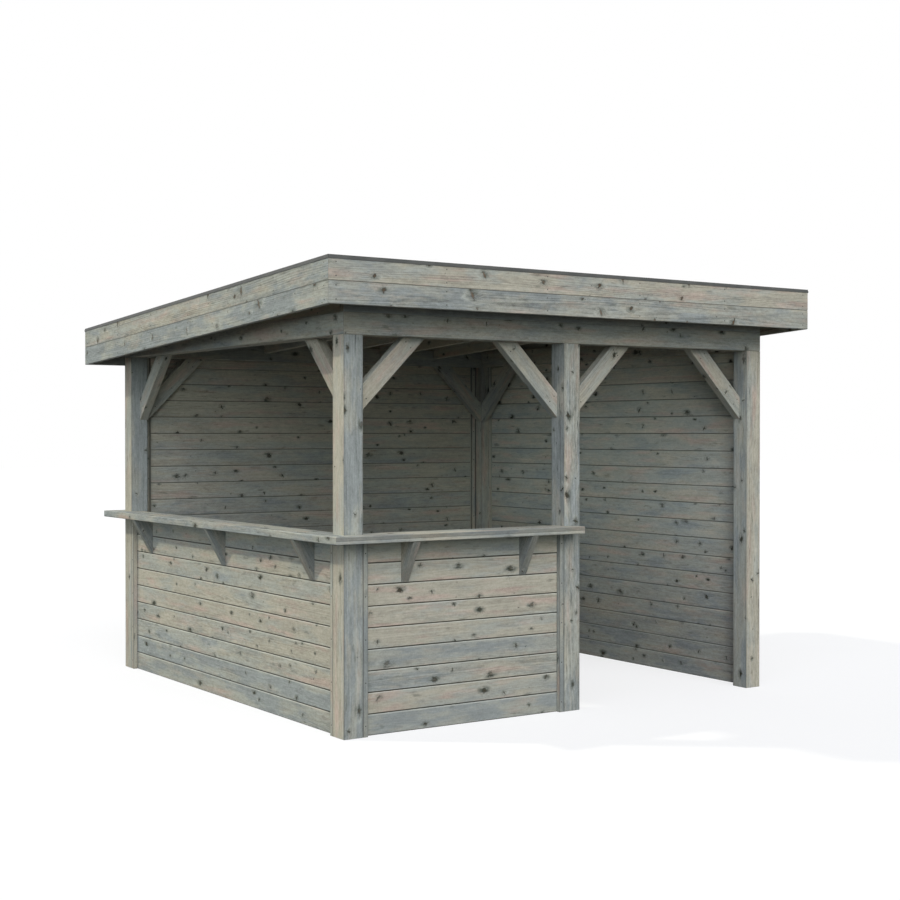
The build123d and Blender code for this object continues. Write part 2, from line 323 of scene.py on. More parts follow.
def knotLayer(finish, place, number, layer, plenty, ragged):
    # gives the knot's dark core, warm heart, whiskers, smudge, pale flare and push on the rings
    along, across = place
    cellLong, cellWide = layer["cell"]
    tall = layer["tall"]
    x = along / cellLong
    y = (across + number * layer["shift"]) / cellWide
    colour = finish.node(
        "TexVoronoi",
        {"voronoi_dimensions": "2D", "feature": "F1"},
        {"Vector": finish.point(x, y), "Scale": 1.0, "Randomness": knotShape["stray"]},
        output="Color",
    )
    placeX, placeY, _ = finish.split(finish.other(colour, "Position"))
    chance, girth, turn = finish.split(colour)
    present = (plenty * layer["share"] - chance).over(0.0)
    radius = (girth ** knotShape["sizeBias"]) * (layer["most"] - layer["least"]) + layer["least"]
    upwards = (y - placeY) * cellWide / radius
    sideways = (x - placeX) * cellLong / radius
    height = upwards / tall

    aside = sideways - upwards * ((turn - 0.5) * layer["slant"])
    taper = height.fade(*knotShape["taper"]) * 0.55 + 0.55
    reach = ((aside / (taper * layer["long"])) ** 2 + height ** 2).root() * ragged

    # whiskers: two thin lines that run up and out from the knot's head
    rise = upwards - tall * 0.6
    spread = abs(abs(aside) - rise * knotShape["whiskerSlope"] - knotShape["whiskerFoot"])
    ends = rise.fade(*knotShape["whiskerStart"]) * rise.fade(*knotShape["whiskerEnd"])
    whisker = spread.fade(*knotShape["whiskerWidth"]) * ends

    stainX = sideways / knotShape["smudgeLength"]
    stainY = (upwards + turn - 0.5) / (tall + 1.0)
    smudge = (stainX ** 2 + stainY ** 2).root().fade(*knotShape["smudge"])
    flareX = (sideways - (turn - 0.5) * knotShape["paleLean"]) / knotShape["paleLength"]
    flareY = upwards / (tall + 0.6)
    flare = (flareX ** 2 + flareY ** 2).root().fade(*knotShape["pale"])
    return {
        "core": reach.fade(*knotShape["core"]) * present * (turn * 0.50 + 0.48),
        "heart": reach.fade(*knotShape["heart"]) * present * layer["heart"],
        "whisker": whisker * present * layer["whisker"],
        "smudge": smudge * present * layer["smudge"],
        "pale": flare * present * layer["pale"],
        "push": smudge * radius * present,
    }


def timberFinish(name, knots=plainKnots, **changes):
    look = dict(timberLook, **changes)
    finish = newFinish(name)
    along, across, number = finish.split(finish.attribute("grain"))
    tone, warmth, figure = finish.split(finish.attribute("cast"))
    faceChance, faceFigure, faceTone = finish.chances(number)

    def pattern(kind, bend=0.0, output=0):
        long, wide, shift, detail, roughness = grainPatterns[kind]
        return finish.noise(
            along * long, across * wide + bend, number + shift, detail, roughness, output,
        )

    jostleX, jostleY, speckle = finish.split(pattern("jostle", output="Color"))
    waver = knotShape["waver"]
    place = (along + (jostleX - 0.5) * waver, across + (jostleY - 0.5) * waver)
    perFigure, atLeast = knotShape["plenty"]
    plenty = figure * perFigure + atLeast
    ragged = (speckle - 0.5) * knotShape["ragged"] + 1.0
    layers = [knotLayer(finish, place, number, layer, plenty, ragged) for layer in knots["layers"]]

    # year rings: distance to a heart that wanders below the face
    wander = pattern("wander") - 0.5
    heart = (faceFigure - 0.5) * ringShape["aside"]
    dip = finish.noise(along * 0.45 + 11, number, 2.0, detail=1.0) - 0.42
    depth = dip * ringShape["dip"] + ringShape["below"]
    radius = ((across - heart) ** 2 + depth ** 2).root() + wander * ringShape["wander"]
    for layer in layers:
        radius = radius + layer["push"] * ringShape["push"]
    phase = (radius / look["ringGap"]).fraction()
    lateWood = phase.fade(*ringShape["late"]) * phase.fade(*ringShape["lateEnd"])
    seen = finish.noise(along * 1.1 + 5, across * 26, number, detail=1.0).fade(*ringShape["seen"])
    rings = lateWood * seen

    streak = pattern("streak", wander * 9)
    fibre = pattern("fibre", wander * 40)
    mottle = pattern("mottle")
    blotch = pattern("blotch")

    # colour patches that run along the board
    warm = finish.noise(along * look["patches"], across * 8.5, number + 9.0, detail=4.0, roughness=0.62)
    warm = warm + (warmth - 0.5) * look["warmthPull"] + (faceChance - 0.5) * 0.10
    rose = pattern("rosePatch").fade(0.50, 0.70) * warm.fade(0.36, 0.6) * 0.75
    colour = finish.mix(warm.fade(0.34, 0.47), look["cool"], look["grey"])
    colour = finish.mix(warm.fade(0.48, 0.64), colour, look["warm"])
    colour = finish.mix(rose, colour, look["rose"])

    shade = (streak - 0.5) * look["streakDepth"] + (fibre - 0.5) * look["fibreDepth"]
    shade = shade - rings * look["ringDepth"]
    shade = shade + (mottle - 0.5) * look["mottleDepth"] + (blotch - 0.5) * look["blotchDepth"]
    shade = shade * (figure * 0.55 + 0.75) + (speckle - 0.5) * look["speckDepth"]
    shade = shade + (tone - 0.5) * look["tonePull"] + (faceTone - 0.5) * 0.06 + 1.0
    if look["checks"]:
        crack = abs(pattern("crack", wander * 5) - 0.5).fade(0.012, 0.003)
        shade = shade - crack * pattern("cracked").fade(0.5, 0.62) * look["checks"]
    # darker near the arrises: painted shade along the seams of battens and fascia boards, and on posts a
    # darker tone at their edges
    if look["arrisGrime"]:
        shade = shade * (1.0 - abs(across).fade(*look["arris"]) * look["arrisGrime"])
    if look["edgeBand"]:  # a counter's edge: dull over a fine groove line, bright under it
        shade = shade * (1.0 - across.fade(-0.0024, 0.0008) * look["edgeBand"])
        shade = shade * (1.0 - abs(across + 0.0012).fade(0.0022, 0.0008) * 0.45)
    colour = finish.mix(1.0, colour, finish.grey(shade), "MULTIPLY")

    for layer in layers:
        colour = finish.mix(layer["pale"] * mottle.fade(0.3, 0.7), colour, look["pale"])
    marks = [pattern("spot").fade(0.62, 0.78) * 0.5]
    for layer in layers:
        marks.append(layer["smudge"] * (mottle * 0.6 + blotch * 0.4).fade(0.40, 0.58))
        marks.append(layer["whisker"])
    for mark in marks:
        colour = finish.mix(mark, colour, look["smudge"])
    for layer in layers:
        colour = finish.mix(layer["core"] * 0.94, colour, knots["core"])
        colour = finish.mix(layer["heart"], colour, knots["heartwood"])
    if look["jointGrime"]:
        # painted shade on the downward bevel at the foot of each board, dirt in the sliver at its very top,
        # and a painted highlight on its upward top bevel; across grows downwards
        joint = look["halfBoard"]
        low = across.fade(joint - 0.0060, joint - 0.0028) * (blotch * 0.7 + 0.65)
        high = across.fade(0.0012 - joint, 0.0004 - joint)
        worn = across.fade(0.0095 - joint, 0.0050 - joint) * (1.0 - high) * (mottle * 0.8 + 0.3)
        colour = finish.mix(worn * look["worn"], colour, look["pale"])
        colour = finish.mix(((low + high) * look["jointGrime"]).atMost(0.92), colour, look["jointShadeAndDirtColour"])

    # the relief reads only streak and fibre, because a Bump works out what it reads three times
    dents = (1.0 - streak) * 0.5 + (1.0 - fibre) * 0.3
    bump = {"Strength": look["bump"], "Distance": look["relief"], "Height": 1.0 - dents}
    return finish.surface({
        "Base Color": colour,
        "Roughness": look["roughness"] + (streak - 0.5) * 0.2,
        "Normal": finish.node("Bump", None, bump),
        "Specular IOR Level": look["specular"],
    })


# Sawn ends: rings round a heart that lies somewhere near the middle, and cracks that run out from it
endLook = {
    "dark": paint(120, 116, 102),
    "light": paint(158, 150, 130),
    "ringGap": 0.0045,
    "ringDepth": 0.24,
    "crackDepth": 0.6,
    "heartSpread": 0.06,
    "wobble": 0.006,
}


def endGrainFinish(name):
    finish = newFinish(name)
    across, through, number = finish.split(finish.attribute("grain"))
    aside, below, _ = finish.chances(number)
    fromX = across - (aside - 0.5) * endLook["heartSpread"]
    fromY = through - (below - 0.5) * endLook["heartSpread"]
    wobble = (finish.noise(across * 30, through * 30, number, detail=2.0) - 0.5) * endLook["wobble"]
    radius = (fromX ** 2 + fromY ** 2).root() + wobble
    phase = (radius / endLook["ringGap"]).fraction()
    rings = phase.fade(0.4, 0.9) * phase.fade(1.0, 0.95)
    stain = finish.noise(across * 18, through * 18, number + 4.0, detail=3.0)
    crackLine = finish.noise(fromX.maths("ARCTAN2", fromX, fromY) * 5, number, 1.0, detail=1.0)
    crack = abs(crackLine - 0.5).fade(0.014, 0.004) * radius.fade(0.004, 0.012)
    shade = 1.0 - rings * endLook["ringDepth"] - crack * endLook["crackDepth"]
    colour = finish.mix(stain.fade(0.35, 0.7), endLook["dark"], endLook["light"])
    bump = {"Strength": 0.5, "Distance": 0.001, "Height": 1.0 - rings * 0.4 - crack}
    return finish.surface({
        "Base Color": finish.mix(1.0, colour, finish.grey(shade), "MULTIPLY"),
        "Roughness": 0.86,
        "Normal": finish.node("Bump", None, bump),
        "Specular IOR Level": 0.1,
    })


heavyFigure = {"streakDepth": 0.78, "mottleDepth": 0.52, "blotchDepth": 0.50, "fibreDepth": 0.34}
timber = timberFinish("weathered_timber")
postTimber = timberFinish("weathered_post_timber", checks=0.6, arrisGrime=0.26, **heavyFigure)
# the battens' darker edges are painted shade in the seams beside the posts and boards
battenTimber = timberFinish("weathered_batten_timber", arrisGrime=0.6, arris=(0.0100, 0.0148))
# the wall boards carry painted shade and a painted highlight at their joints, fainter on the sheltered
# boards under the roof
boardTimber = timberFinish("weathered_wall_boards", jointGrime=0.88)
shelteredBoards = timberFinish("sheltered_wall_boards", jointGrime=0.52, worn=0.40)
# the fascia boards' darker edges are painted shade along the joint between them
fasciaTimber = timberFinish(
    "weathered_fascia_boards", knots=redKnots, ringDepth=0.26, ringGap=0.0105, arrisGrime=0.7,
    arris=(0.0560, 0.0598), streakDepth=0.54, mottleDepth=0.50, blotchDepth=0.50, patches=3.0,
)
counterTimber = timberFinish("weathered_counter_timber", checks=0.5, **heavyFigure)
counterEdge = timberFinish("weathered_counter_edge", edgeBand=0.36, streakDepth=0.6)
endGrain = endGrainFinish("weathered_end_grain")
print("timber finishes made")


# Timbers: each is tagged with its own grain before it joins the others of its piece
def tagTimber(shape, faces, along, through, centre, chance, cast, edgesJoin=False, edgeIndex=0):
    # along is the way the grain runs, through the way of the largest face; edgesJoin carries the
    # broad face's figure round its edges, edgeIndex is the finish of the narrow sides, and a cast
    # that is a dictionary holds one for each facing
    vectors = shape.loops.layers.float_vector
    grain = vectors.get("grain") or vectors.new("grain")
    castLayer = vectors.get("cast") or vectors.new("cast")
    across = through.cross(along).normalized()
    start = chance.uniform(0, 40)
    numbers = [chance.uniform(0, 60) for side in range(6)]
    for face in faces:
        lengthwise, sideways, outward = (face.normal.dot(way) for way in (along, across, through))
        if abs(lengthwise) > 0.75:  # a sawn end
            face.material_index = 1
            first, second, shift, number = across, through, 0, numbers[4 if lengthwise > 0 else 5]
        elif edgesJoin or abs(outward) >= abs(sideways):
            face.material_index = 0
            first, second, shift, number = along, across, start, numbers[0 if outward > 0 else 1]
        else:
            face.material_index = edgeIndex
            first, second, shift, number = along, through, start, numbers[2 if sideways > 0 else 3]
        ownCast = Vector(cast[facing(face.normal)] if isinstance(cast, dict) else cast)
        for loop in face.loops:
            place = loop.vert.co - centre
            loop[grain] = Vector((place.dot(first) + shift, place.dot(second), number))
            loop[castLayer] = ownCast


def facing(normal):
    if abs(normal.x) >= abs(normal.y):
        return "left" if normal.x < 0 else "right"
    return "front" if normal.y < 0 else "rear"


def drawCast(chance, tone=None, warmth=None, figure=None):
    return (
        chance.uniform(0.3, 0.7) if tone is None else tone,
        chance.uniform(0.25, 0.75) if warmth is None else warmth,
        chance.random() if figure is None else figure,
    )


def drawCasts(chance, casts):  # one timber's cast, or one for each facing
    if not isinstance(casts, dict):
        return drawCast(chance, *casts)
    return {side: drawCast(chance, *casts.get(side, ())) for side in ("front", "right", "rear", "left")}


def meshFrom(name, shape, materials=()):
    mesh = bpy.data.meshes.new(name)
    shape.to_mesh(mesh)
    shape.free()
    for material in materials:
        mesh.materials.append(material)
    return mesh


def addToScene(name, data):
    made = bpy.data.objects.new(name, data)
    bpy.context.scene.collection.objects.link(made)
    return made


def addPiece(name, shape, materials, nodes):
    piece = addToScene(name, meshFrom(name, shape, materials))
    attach(piece, "root")
    if nodes:
        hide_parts(*nodes)


def roundedMiddle(verts):
    return tuple(round(sum(vert.co[axis] for vert in verts) / len(verts), 3) for axis in range(3))


def separateTimbers(shape):
    # the corners of each timber of a node, in the order of the timbers' middles
    left = set(shape.verts)
    groups = []
    while left:
        waiting = [left.pop()]
        group = set(waiting)
        while waiting:
            for edge in waiting.pop().link_edges:
                for vert in edge.verts:
                    if vert in left:
                        left.remove(vert)
                        group.add(vert)
                        waiting.append(vert)
        groups.append(group)
    return sorted(groups, key=roundedMiddle)


def mergedCopy(nodeName):  # a node's mesh with its loose triangles joined into whole faces
    shape = bmesh.new()
    shape.from_mesh(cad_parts[nodeName].data)
    bmesh.ops.remove_doubles(shape, verts=shape.verts[:], dist=0.0001)
    bmesh.ops.dissolve_limit(
        shape, angle_limit=math.radians(0.4), verts=shape.verts[:], edges=shape.edges[:],
        delimit={"MATERIAL"},
    )
    return shape


def roundArrises(shape, radius, segments=2):
    leastTurn = math.radians(30)
    arrises = [
        edge for edge in shape.edges
        if len(edge.link_faces) == 2 and edge.is_convex and edge.calc_face_angle() > leastTurn
    ]
    bmesh.ops.bevel(
        shape, geom=arrises, offset=radius, segments=segments, profile=0.5,
        affect="EDGES", material=-1, clamp_overlap=True,
    )


def timberFromNode(nodeName, material, arris=0.003, casts=None, edge=None):
    # the node's own shape, its arrises eased and each of its timbers given its own grain; gives
    # back each timber's middle, its ways along and through, and half its length, width and thickness
    chance = random.Random(nodeName)
    made = []
    shape = mergedCopy(nodeName)
    roundArrises(shape, arris)
    shape.normal_update()
    for count, verts in enumerate(separateTimbers(shape)):
        edges = {edge for vert in verts for edge in vert.link_edges}
        faces = sorted({face for vert in verts for face in vert.link_faces}, key=lambda face: face.index)
        longest = max(edges, key=lambda edge: round(edge.calc_length(), 5))
        along = (longest.verts[1].co - longest.verts[0].co).normalized()
        along *= 1 if max(along, key=abs) > 0 else -1
        sides = [face for face in faces if abs(face.normal.dot(along)) < 0.2]  # not the sawn ends
        through = max(sides, key=lambda face: face.calc_area()).normal.copy()
        if edge and through.z < 0:
            through.negate()
        centre = sum((vert.co for vert in verts), Vector()) / len(verts)
        cast = drawCasts(chance, casts[count % len(casts)] if casts else ())
        tagTimber(shape, faces, along, through, centre, chance, cast, edgeIndex=2 if edge else 0)
        middle, halves = timberExtent(verts, along, through)
        made.append({"middle": middle, "along": along, "through": through, "halves": halves})
    materials = [material, endGrain, edge] if edge else [material, endGrain]
    addPiece(nodeName + "_timber", shape, materials, [nodeName])
    return made


def timberExtent(verts, along, through):
    # the middle of a timber's own box, and half its length, width and thickness
    ways = along, through.cross(along), through
    spans = [[vert.co.dot(way) for vert in verts] for way in ways]
    middle = sum((way * ((max(span) + min(span)) / 2) for way, span in zip(ways, spans)), Vector())
    return middle, [(max(span) - min(span)) / 2 for span in spans]


# Tone, warmth and figure of the timbers that catch the eye; the others draw theirs
framePieces = {
    "posts": (
        "post_front_left", "post_front_middle", "post_front_right", "post_rear_left", "post_rear_right",
    ),
    "beams": ("beam_front", "beam_right", "beam_rear", "beam_left", "front_plate"),
    "braces": ("knee_braces_front", "knee_braces_rear", "knee_braces_left", "knee_braces_right"),
    "rafters": ("rafters", "side_rafters", "edge_rafters"),
    "battens": ("rear_wall_battens", "right_wall_battens", "left_bar_battens", "front_bar_battens"),
    "brackets": ("front_brackets", "left_brackets"),
    "arris": {
        "posts": 0.003, "beams": 0.004, "braces": 0.003,
        "rafters": 0.002, "battens": 0.0025, "brackets": 0.0015,
    },
    "casts": {
        "post_front_left": ({"left": (0.70, 0.70, 0.35), "front": (0.46, 0.27, 0.6)},),
        "post_front_middle": ({"left": (0.14, 0.20, 0.6), "front": (0.50, 0.50, 1.3)},),
        "post_front_right": ({"left": (0.62, 0.38, 0.5), "front": (0.74, 0.74, 1.0)},),
        "post_rear_left": ({"left": (0.50, 0.66, 0.3), "front": (0.35, 0.30, 0.4)},),
        "knee_braces_front": ((0.36, 0.62, 0.6), (0.32, 0.54, 0.8), (0.40, 0.62, 0.6), (0.30, 0.50, 0.9)),
        "beam_front": ((0.26, 0.50, 0.9),),
        "beam_left": ((0.20, 0.45, 0.6),),
        # the rafters' tone above one is painted light, brightening them in the shade under the roof
        "rafters": ((1.20, 0.60, 0.5),),
        "front_bar_battens": ((0.12, 0.40, 0.4), (0.30, 0.40, 0.4)),
        # the brackets' tone below zero is painted shade, darkening them as if they lay in the counters'
        # shadow
        "front_brackets": ((-0.62, 0.32, 0.3),),
        "left_brackets": ((-0.62, 0.28, 0.3),),
    },
}
groupTimber = {"posts": postTimber, "battens": battenTimber}

timbers = {}
for group, radius in framePieces["arris"].items():
    groupFinish = groupTimber.get(group, timber)
    for nodeName in framePieces[group]:
        casts = framePieces["casts"].get(nodeName)
        timbers[nodeName] = timberFromNode(nodeName, groupFinish, arris=radius, casts=casts)
print("frame timbers made")

# Fascias: the rear and right ones, which the usual view doesn't show, draw their casts
fascias = {
    "arris": 0.0025,
    "casts": {
        "fascia_front_upper": (0.46, 0.58, 0.9),
        "fascia_front_lower": (0.38, 0.40, 0.9),
        "fascia_left_upper": (0.46, 0.42, 1.0),
        "fascia_left_lower": (0.36, 0.26, 0.8),
    },
}
fasciaNames = sorted(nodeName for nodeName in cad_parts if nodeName.startswith("fascia_"))
for nodeName in fasciaNames:
    casts = (fascias["casts"].get(nodeName, ()),)
    timbers[nodeName] = timberFromNode(nodeName, fasciaTimber, fascias["arris"], casts)

# The counters' casts are given by facing, where a level face counts as facing right
counters = {
    "arris": 0.0015,
    "casts": {
        "counter_front": {"front": (0.62, 0.32, 0.3), "right": (0.38, 0.30, 0.5)},
        "counter_left": {"left": (0.34, 0.34, 0.6), "right": (0.28, 0.30, 0.6)},
    },
    "edges": {"counter_front": counterEdge, "counter_left": None},
}
for nodeName, edge in counters["edges"].items():
    casts = (counters["casts"][nodeName],)
    timbers[nodeName] = timberFromNode(
        nodeName, counterTimber, counters["arris"], casts, edge,
    )
print("fascias and counters made")

# Boarded walls: tongue and groove boards, bevelled at every joint, listed from the ground up
boards = {
    "pitch": 0.1165,
    "gap": 0.0018,
    "bevel": 0.0048,
    "tongue": (0.006, 0.009),
    "unevenness": 0.0004,
    "sliver": 0.01,
}


def addBlock(shape, low, high):
    verts = bmesh.ops.create_cube(shape, size=1)["verts"]
    bmesh.ops.scale(shape, vec=Vector(high) - Vector(low), verts=verts)
    bmesh.ops.translate(shape, vec=(Vector(high) + Vector(low)) / 2, verts=verts)
    return verts


def addBoard(shape, length, thickness, low, high, chance, cast, hasTongue):
    # X runs along the board, Y through it and Z up, on a wall that starts at X 0, its middle at Y 0
    out = chance.uniform(-1, 1) * boards["unevenness"]
    half = thickness / 2 - boards["unevenness"]
    first = len(shape.faces)
    verts = addBlock(shape, (0, -half + out, low), (length, half + out, high))
    longEdges = [
        edge for edge in {edge for vert in verts for edge in vert.link_edges}
        if abs(edge.verts[0].co.x - edge.verts[1].co.x) > length / 2
    ]
    longEdges.sort(key=lambda edge: (edge.verts[0].co.z, edge.verts[0].co.y))
    bmesh.ops.bevel(
        shape, geom=longEdges, offset=boards["bevel"], segments=2, profile=0.5,
        affect="EDGES", material=-1,
    )
    if hasTongue:
        thick, tall = boards["tongue"]
        addBlock(shape, (0, -thick / 2, high - boards["gap"]), (length, thick / 2, high + tall))
    shape.faces.ensure_lookup_table()
    shape.normal_update()
    centre = Vector((length / 2, 0, (low + high) / 2))
    ways = Vector((1, 0, 0)), Vector((0, 1, 0))
    tagTimber(shape, shape.faces[first:], *ways, centre, chance, cast, edgesJoin=True)


def boardedSheet(name, nodeName, size, place, material, casts=()):
    # size is the length of the boards, their thickness and the height of the sheet
    length, thickness, height = size
    chance = random.Random(nodeName)
    shape = bmesh.new()
    pitch = boards["pitch"]
    count = math.ceil(height / pitch - boards["sliver"])  # a thinner strip joins the board below
    for row in range(count):
        low = row * pitch
        high = min((row + 1) * pitch - boards["gap"], height)
        isTop = row == count - 1
        cast = drawCast(chance, *casts[row]) if row < len(casts) else drawCast(chance)
        addBoard(shape, length, thickness, low, height if isTop else high, chance, cast, not isTop)
    bmesh.ops.transform(shape, matrix=place, verts=shape.verts[:])
    addPiece(name, shape, [material, endGrain], [nodeName])


def boardedWall(nodeName, turned, material, casts):
    low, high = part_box(nodeName)
    size = high - low
    if turned:  # the wall runs along Y
        quarter = Matrix.Rotation(math.pi / 2, 4, "Z")
        place = Matrix.Translation((low.x + size.x / 2, low.y, low.z)) @ quarter
        size.x, size.y = size.y, size.x
    else:
        place = Matrix.Translation((low.x, low.y + size.y / 2, low.z))
    boardedSheet(nodeName + "_boards", nodeName, size, place, material, casts)


# Each board's tone, warmth and figure, from the ground up; the two high walls are bluish near the
# ground and browner under the roof
highWallRows = range(19)
walls = {
    "front_bar_wall": {
        "turned": False,
        "material": boardTimber,
        "casts": (
            (0.34, 0.16), (0.46, 0.48), (0.46, 0.62), (0.36, 0.44), (0.60, 0.80),
            (0.62, 0.86), (0.58, 0.90), (0.60, 0.78), (0.55, 0.62),
        ),
    },
    "left_bar_wall": {
        "turned": True,
        "material": boardTimber,
        "casts": (
            (0.42, 0.26, 1.1), (0.42, 0.22, 1.3), (0.50, 0.44, 1.6), (0.55, 0.66, 1.5), (0.60, 0.84, 1.1),
            (0.62, 0.72, 1.0), (0.60, 0.66, 1.2), (0.62, 0.76, 0.9), (0.50, 0.42, 0.7),
        ),
    },
    "rear_wall": {
        "turned": False,
        "material": shelteredBoards,
        "casts": tuple((0.50 + 0.05 * (row % 3 - 1), 0.30 + 0.026 * row, 0.9) for row in highWallRows),
    },
    "right_wall": {
        "turned": True,
        "material": shelteredBoards,
        # the right wall's tone rises towards the roof as painted light, brightening its upper boards where
        # the roof shades them
        "casts": tuple((0.34 + 0.065 * row, 0.32 + 0.018 * row, 0.9) for row in highWallRows),
    },
}
for nodeName, wall in walls.items():
    boardedWall(nodeName, **wall)
print("boarded walls made")


# Screws: small countersunk heads, a shade proud of the timber they hold
screws = {
    "dark": paint(72, 70, 64),
    "light": paint(104, 103, 97),
    "head": 0.0042,
    "taper": 0.86,
    "proud": 0.0006,
    "sunk": 0.0010,
    "socket": 0.0022,
    "socketWall": 0.0002,
    "socketDepth": 0.0005,
    "fasciaStep": 0.62,
    "fasciaEnd": 0.045,
    "fasciaEdge": 0.024,
    "battenStep": 0.233,
    "battenEnd": 0.06,
    "braceEnd": 0.105,
    "braceAside": 0.022,
    "counterAside": 0.050,
}


def screwFinish():
    finish = newFinish("dull_screw_steel")
    x, y, z = finish.split(finish.node("TexCoord", None, None, output="Object"))
    stain = finish.noise(x * 400, y * 400, z * 400, detail=2.0)
    return finish.surface({
        "Base Color": finish.mix(stain.fade(0.35, 0.7), screws["dark"], screws["light"]),
        "Roughness": 0.45 + stain * 0.25,
        "Metallic": 0.6,
    })


def screwHead():
    # one head, its face up: a shallow cone with a sunk drive in the middle
    shape = bmesh.new()
    tall = screws["proud"] + screws["sunk"]
    rim = screws["head"]
    bmesh.ops.create_cone(
        shape, segments=12, radius1=rim, radius2=rim * screws["taper"], depth=tall, cap_ends=True,
    )
    bmesh.ops.translate(shape, vec=(0, 0, screws["proud"] - tall / 2), verts=shape.verts[:])
    shape.normal_update()
    top = [face for face in shape.faces if face.normal.z > 0.9]
    bmesh.ops.inset_region(shape, faces=top, thickness=screws["socket"], use_even_offset=True)
    bmesh.ops.inset_region(
        shape, faces=top, thickness=screws["socketWall"], depth=-screws["socketDepth"],
        use_even_offset=True,
    )
    return meshFrom("screw_head", shape)


def addScrews(name, spots):
    shape = bmesh.new()
    for point, outward in spots:
        first = len(shape.verts)
        shape.from_mesh(oneScrew)
        shape.verts.ensure_lookup_table()
        place = Matrix.Translation(point) @ outward.to_track_quat("Z", "Y").to_matrix().to_4x4()
        bmesh.ops.transform(shape, matrix=place, verts=shape.verts[first:])
    addPiece(name, shape, [screwSteel], [])


def evenPlaces(half, inset, step):  # places along a timber, from end to end
    count = max(2, round((half - inset) * 2 / step) + 1)
    return [(half - inset) * (2 * index / (count - 1) - 1) for index in range(count)]


def outwardOf(board):  # the way of the broad side that faces away from the pavilion's middle
    away = board["middle"] - cadMiddle
    away.z = 0
    return board["through"] * (1 if board["through"].dot(away) > 0 else -1)


def fasciaScrews():
    spots = []
    for nodeName in fasciaNames:
        for board in timbers[nodeName]:
            outward = outwardOf(board)
            aside = outward.cross(board["along"])
            half, halfWide, halfThick = board["halves"]
            face = board["middle"] + outward * halfThick
            for place in evenPlaces(half, screws["fasciaEnd"], screws["fasciaStep"]):
                for side in (-1, 1):
                    offset = aside * side * (halfWide - screws["fasciaEdge"])
                    spots.append((face + board["along"] * place + offset, outward))
    addScrews("fascia_screws", spots)


def battenScrews():
    spots = []
    for nodeName in framePieces["battens"]:
        for batten in timbers[nodeName]:
            half, _, halfThick = batten["halves"]
            for place in evenPlaces(half, screws["battenEnd"], screws["battenStep"]):
                for side in (-1, 1):
                    outward = batten["through"] * side
                    point = batten["middle"] + outward * halfThick + batten["along"] * place
                    spots.append((point, outward))
    addScrews("batten_screws", spots)


def braceScrews():
    spots = []
    for nodeName in framePieces["braces"]:
        for brace in timbers[nodeName]:
            half, _, halfThick = brace["halves"]
            aside = brace["through"].cross(brace["along"])
            for side in (-1, 1):
                outward = brace["through"] * side
                face = brace["middle"] + outward * halfThick
                for end in (-1, 1):
                    for shift in (-1, 1):
                        offset = brace["along"] * end * (half - screws["braceEnd"])
                        spots.append((face + offset + aside * shift * screws["braceAside"], outward))
    addScrews("brace_screws", spots)


def counterScrews():
    spots = []
    up = Vector((0, 0, 1))
    carriers = {"counter_front": "front_brackets", "counter_left": "left_brackets"}
    for counterName, bracketName in carriers.items():
        plank = timbers[counterName][0]
        along = plank["along"]
        top = plank["middle"] + up * plank["halves"][2]
        for bracket in timbers[bracketName]:
            over = top + along * (bracket["middle"] - plank["middle"]).dot(along)
            for side in (-1, 1):
                spots.append((over + up.cross(along) * side * screws["counterAside"], up))
    addScrews("counter_screws", spots)


cadMiddle = (cadBox[0] + cadBox[1]) / 2
screwSteel = screwFinish()
oneScrew = screwHead()
fasciaScrews()
battenScrews()
braceScrews()
counterScrews()
bpy.data.meshes.remove(oneScrew)
print("screws made")


# The roof: boards and a covering that slope down to the rear, and a trim round their edges. The
# covering comes in strips down the slope, each lapped and glued over the next.
roof = {
    "slope": math.radians(3),
    "board": 0.018,
    "strips": 4,
    "lap": 0.055,
    "lapThick": 0.0014,
    "lapEnd": 0.001,
    "trimArris": 0.0007,
    "trimDark": paint(72, 73, 70),
    "trimLight": paint(87, 87, 83),
    "trimBrushed": paint(60, 61, 58),
    "rubber": paint(58, 60, 62),
    "dust": paint(86, 88, 87),
    "trail": paint(104, 104, 99),
}


def roofBoards():
    low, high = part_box("roof_deck")
    shortening = math.cos(roof["slope"])
    size = high.x - low.x, roof["board"] * shortening, (high.y - low.y) / shortening
    # the sheet is built standing, then laid down with its lowest board at the front
    laidDown = Matrix.Rotation(-math.pi / 2 - roof["slope"], 4, "X")
    place = Matrix.Translation((low.x, low.y, high.z - roof["board"] / 2)) @ laidDown
    boardedSheet("roof_deck_boards", "roof_deck", size, place, shelteredBoards)


roofBoards()


def trimFinish():
    finish = newFinish("grey_aluminium")
    x, y, z = finish.split(finish.node("TexCoord", None, None, output="Object"))
    brushed = finish.noise(x * 3, y * 3, z * 300, detail=2.0)
    stain = finish.noise(x * 9, y * 9, z * 9, detail=3.0)
    colour = finish.mix(stain.fade(0.35, 0.7), roof["trimDark"], roof["trimLight"])
    colour = finish.mix(brushed * 0.25, colour, roof["trimBrushed"])
    bump = finish.node("Bump", None, {"Strength": 0.12, "Distance": 0.0004, "Height": brushed})
    return finish.surface({
        "Base Color": colour,
        "Roughness": 0.42 + stain * 0.2,
        "Metallic": 0.2,
        "Normal": bump,
    })


